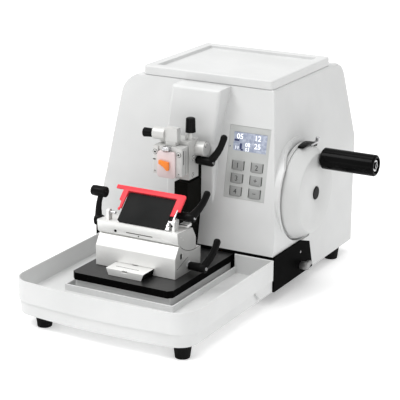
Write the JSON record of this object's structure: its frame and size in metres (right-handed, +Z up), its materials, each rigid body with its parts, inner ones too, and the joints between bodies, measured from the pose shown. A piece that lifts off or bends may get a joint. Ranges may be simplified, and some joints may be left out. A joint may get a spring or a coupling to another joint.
{
  "type": "rotary microtome",
  "caption": "Rotary microtome: a leaning white housing whose handwheel drives a specimen clamp past a tilting knife holder on a dovetail rail over a waste tray.",
  "frame": {"origin": "on the bench under the middle of the whole instrument", "axes": "+X to the handwheel side, +Y from the tray to the housing's back, +Z up"},
  "size_m": [0.406, 0.523, 0.312],
  "materials": {
    "housing_white": "fine-textured white enamel",
    "black_gloss": "glossy black",
    "black_disc": "satin black",
    "foot_rubber": "matt black",
    "panel_silver": "silver-grey membrane",
    "screen": "grey-blue display glass",
    "board_green": "green laminate",
    "button_grey": "satin grey",
    "cast_frame": "machined casting",
    "steel": "ground steel",
    "head_silver": "bead-blasted satin",
    "shield_black": "matt black",
    "motor_black": "black lacquer",
    "black_plastic": "satin black",
    "cassette_white": "frosted white",
    "wax_orange": "waxy orange",
    "holder_white": "pale satin anodised",
    "blade_steel": "honed steel",
    "guard_red": "bright red",
    "wheel_white": "smooth white enamel",
    "cap_grey": "light grey",
    "lock_chrome": "polished chrome",
    "rear_metal": "satin sheet",
    "socket_black": "satin black"
  },
  "bodies": {
    "base": {"base_chassis": "black_gloss", "base_plinth": "housing_white", "bed_plate": "black_gloss", "housing_cover": "housing_white", "top_lid": "housing_white", "feet": "foot_rubber", "control_panel": "panel_silver", "lcd_screen": "screen", "circuit_board": "board_green", "upright_frame": "cast_frame", "vertical_rails": "steel", "shaft_stand": "cast_frame", "main_bearings": "steel", "coarse_stand": "cast_frame", "rear_panel": "rear_metal", "power_inlet": "socket_black", "switch_box": "socket_black", "dovetail_rail": "steel"},
    "drive": {"handwheel": "wheel_white", "hub_cap": "cap_grey", "brake_disc": "black_disc", "main_shaft": "steel", "crank_disc": "steel", "grip_pin": "steel"},
    "grip": {"grip_sleeve": "black_plastic"},
    "coarse_feed": {"coarse_wheel": "wheel_white"},
    "lift": {"carriage": "head_silver", "slot_shield": "shield_black", "feed_motor": "motor_black", "lead_screw": "steel"},
    "ram": {"feed_ram": "steel"},
    "head": {"tilt_frame": "head_silver", "head_pins": "steel", "head_collars": "head_silver"},
    "pitch_control": {"pitch_knob": "black_plastic"},
    "yaw_control": {"yaw_knob": "black_plastic"},
    "head_lock": {"specimen_lever": "black_plastic"},
    "clamp": {"cassette_clamp": "head_silver", "cassette": "cassette_white", "wax_block": "wax_orange"},
    "jaw": {"clamp_jaw": "head_silver"},
    "holder_base": {"knife_base": "holder_white"},
    "base_lock": {"base_lever": "black_plastic"},
    "holder_segment": {"blade_holder": "holder_white", "guard_pins": "steel", "blade": "blade_steel"},
    "blade_clamp": {"pressure_plate": "holder_white"},
    "guard": {"finger_guard": "guard_red"},
    "blade_lock": {"blade_lever": "black_plastic"},
    "segment_lock": {"side_lever": "black_plastic"},
    "tray": {"waste_tray": "housing_white"},
    "lock": {"lock_knob": "lock_chrome"},
    "rocker": {"power_rocker": "socket_black"},
    "key_1": {"button_1": "button_grey"},
    "key_2": {"button_2": "button_grey"},
    "key_3": {"button_3": "button_grey"},
    "key_4": {"button_4": "button_grey"},
    "key_5": {"button_5": "button_grey"},
    "key_6": {"button_6": "button_grey"}
  },
  "joints": [
    {"name": "handwheel_spin", "type": "hinge", "parent": "base", "child": "drive", "pos_m": [0.1, 0.083, 0.1443], "axis": [1, 0, 0], "continuous": true},
    {"name": "grip_spin", "type": "hinge", "parent": "drive", "child": "grip", "pos_m": [0.162, 0.0997, 0.1925], "axis": [1, 0, 0], "continuous": true},
    {"name": "coarse_spin", "type": "hinge", "parent": "base", "child": "coarse_feed", "pos_m": [-0.199, 0.051, 0.1204], "axis": [1, 0, 0], "continuous": true},
    {"name": "carriage_lift", "type": "slide", "parent": "base", "child": "lift", "axis": [0, 0, 1], "range_m": [-0.062, 0]},
    {"name": "feed", "type": "slide", "parent": "lift", "child": "ram", "axis": [0, -1, 0], "range_m": [0, 0.018]},
    {"name": "head_pitch", "type": "hinge", "parent": "ram", "child": "head", "pos_m": [-0.0357, -0.014, 0.197], "axis": [1, 0, 0], "range_deg": [-5, 5]},
    {"name": "pitch_turn", "type": "hinge", "parent": "head", "child": "pitch_control", "pos_m": [-0.029, -0.022, 0.25], "axis": [0, 0, 1], "range_deg": [-180, 180]},
    {"name": "clamp_swivel", "type": "hinge", "parent": "head", "child": "clamp", "pos_m": [-0.0465, -0.042, 0.2], "axis": [0, 0, 1], "range_deg": [-4, 4]},
    {"name": "yaw_turn", "type": "hinge", "parent": "head", "child": "yaw_control", "pos_m": [-0.084, -0.041, 0.2365], "axis": [1, 0, 0], "range_deg": [-180, 180]},
    {"name": "head_lock_turn", "type": "hinge", "parent": "head", "child": "head_lock", "pos_m": [-0.01, -0.014, 0.197], "axis": [1, 0, 0], "range_deg": [0, 60]},
    {"name": "jaw_lift", "type": "slide", "parent": "clamp", "child": "jaw", "axis": [0, 0, 1], "range_m": [0, 0.006], "stiffness_N_per_m": 300, "springref_m": -0.004},
    {"name": "holder_slide", "type": "slide", "parent": "base", "child": "holder_base", "axis": [0, 1, 0], "range_m": [-0.02, 0]},
    {"name": "base_lock_turn", "type": "hinge", "parent": "holder_base", "child": "base_lock", "pos_m": [0.03, -0.1062, 0.0747], "axis": [1, 0, 0], "range_deg": [0, 75]},
    {"name": "segment_tilt", "type": "hinge", "parent": "holder_base", "child": "holder_segment", "pos_m": [-0.047, -0.0865, 0.1641], "axis": [1, 0, 0], "range_deg": [-5, 5]},
    {"name": "plate_swing", "type": "hinge", "parent": "holder_segment", "child": "blade_clamp", "pos_m": [-0.0438, -0.1325, 0.1305], "axis": [1, 0, 0], "range_deg": [0, 5]},
    {"name": "guard_swing", "type": "hinge", "parent": "holder_segment", "child": "guard", "pos_m": [-0.0456, -0.128, 0.14], "axis": [1, 0, 0], "range_deg": [0, 100]},
    {"name": "blade_lock_turn", "type": "hinge", "parent": "holder_segment", "child": "blade_lock", "pos_m": [0.01, -0.1031, 0.1433], "axis": [1, 0, 0], "range_deg": [0, 60]},
    {"name": "segment_lock_turn", "type": "hinge", "parent": "holder_segment", "child": "segment_lock", "pos_m": [-0.12, -0.1187, 0.1225], "axis": [1, 0, 0], "range_deg": [0, 45]},
    {"name": "tray_slide", "type": "slide", "parent": "base", "child": "tray", "axis": [0, -1, 0], "range_m": [0, 0.12]},
    {"name": "lock_turn", "type": "hinge", "parent": "base", "child": "lock", "pos_m": [0.104, 0.079, 0.0295], "axis": [1, 0, 0], "range_deg": [0, 90]},
    {"name": "rocker_tilt", "type": "hinge", "parent": "base", "child": "rocker", "pos_m": [0.0345, 0.258, 0.1055], "axis": [1, 0, 0], "range_deg": [-12, 0]},
    {"name": "key_1_press", "type": "slide", "parent": "base", "child": "key_1", "axis": [0, 0.9824, -0.1867], "range_m": [0, 0.0008], "stiffness_N_per_m": 1500, "springref_m": -0.0003},
    {"name": "key_2_press", "type": "slide", "parent": "base", "child": "key_2", "axis": [0, 0.9824, -0.1867], "range_m": [0, 0.0008], "stiffness_N_per_m": 1500, "springref_m": -0.0003},
    {"name": "key_3_press", "type": "slide", "parent": "base", "child": "key_3", "axis": [0, 0.9824, -0.1867], "range_m": [0, 0.0008], "stiffness_N_per_m": 1500, "springref_m": -0.0003},
    {"name": "key_4_press", "type": "slide", "parent": "base", "child": "key_4", "axis": [0, 0.9824, -0.1867], "range_m": [0, 0.0008], "stiffness_N_per_m": 1500, "springref_m": -0.0003},
    {"name": "key_5_press", "type": "slide", "parent": "base", "child": "key_5", "axis": [0, 0.9824, -0.1867], "range_m": [0, 0.0008], "stiffness_N_per_m": 1500, "springref_m": -0.0003},
    {"name": "key_6_press", "type": "slide", "parent": "base", "child": "key_6", "axis": [0, 0.9824, -0.1867], "range_m": [0, 0.0008], "stiffness_N_per_m": 1500, "springref_m": -0.0003}
  ],
  "couplings": [
    {"joint": "pitch_turn", "follows": "head_pitch", "ratio": 36},
    {"joint": "yaw_turn", "follows": "clamp_swivel", "ratio": 45}
  ]
}
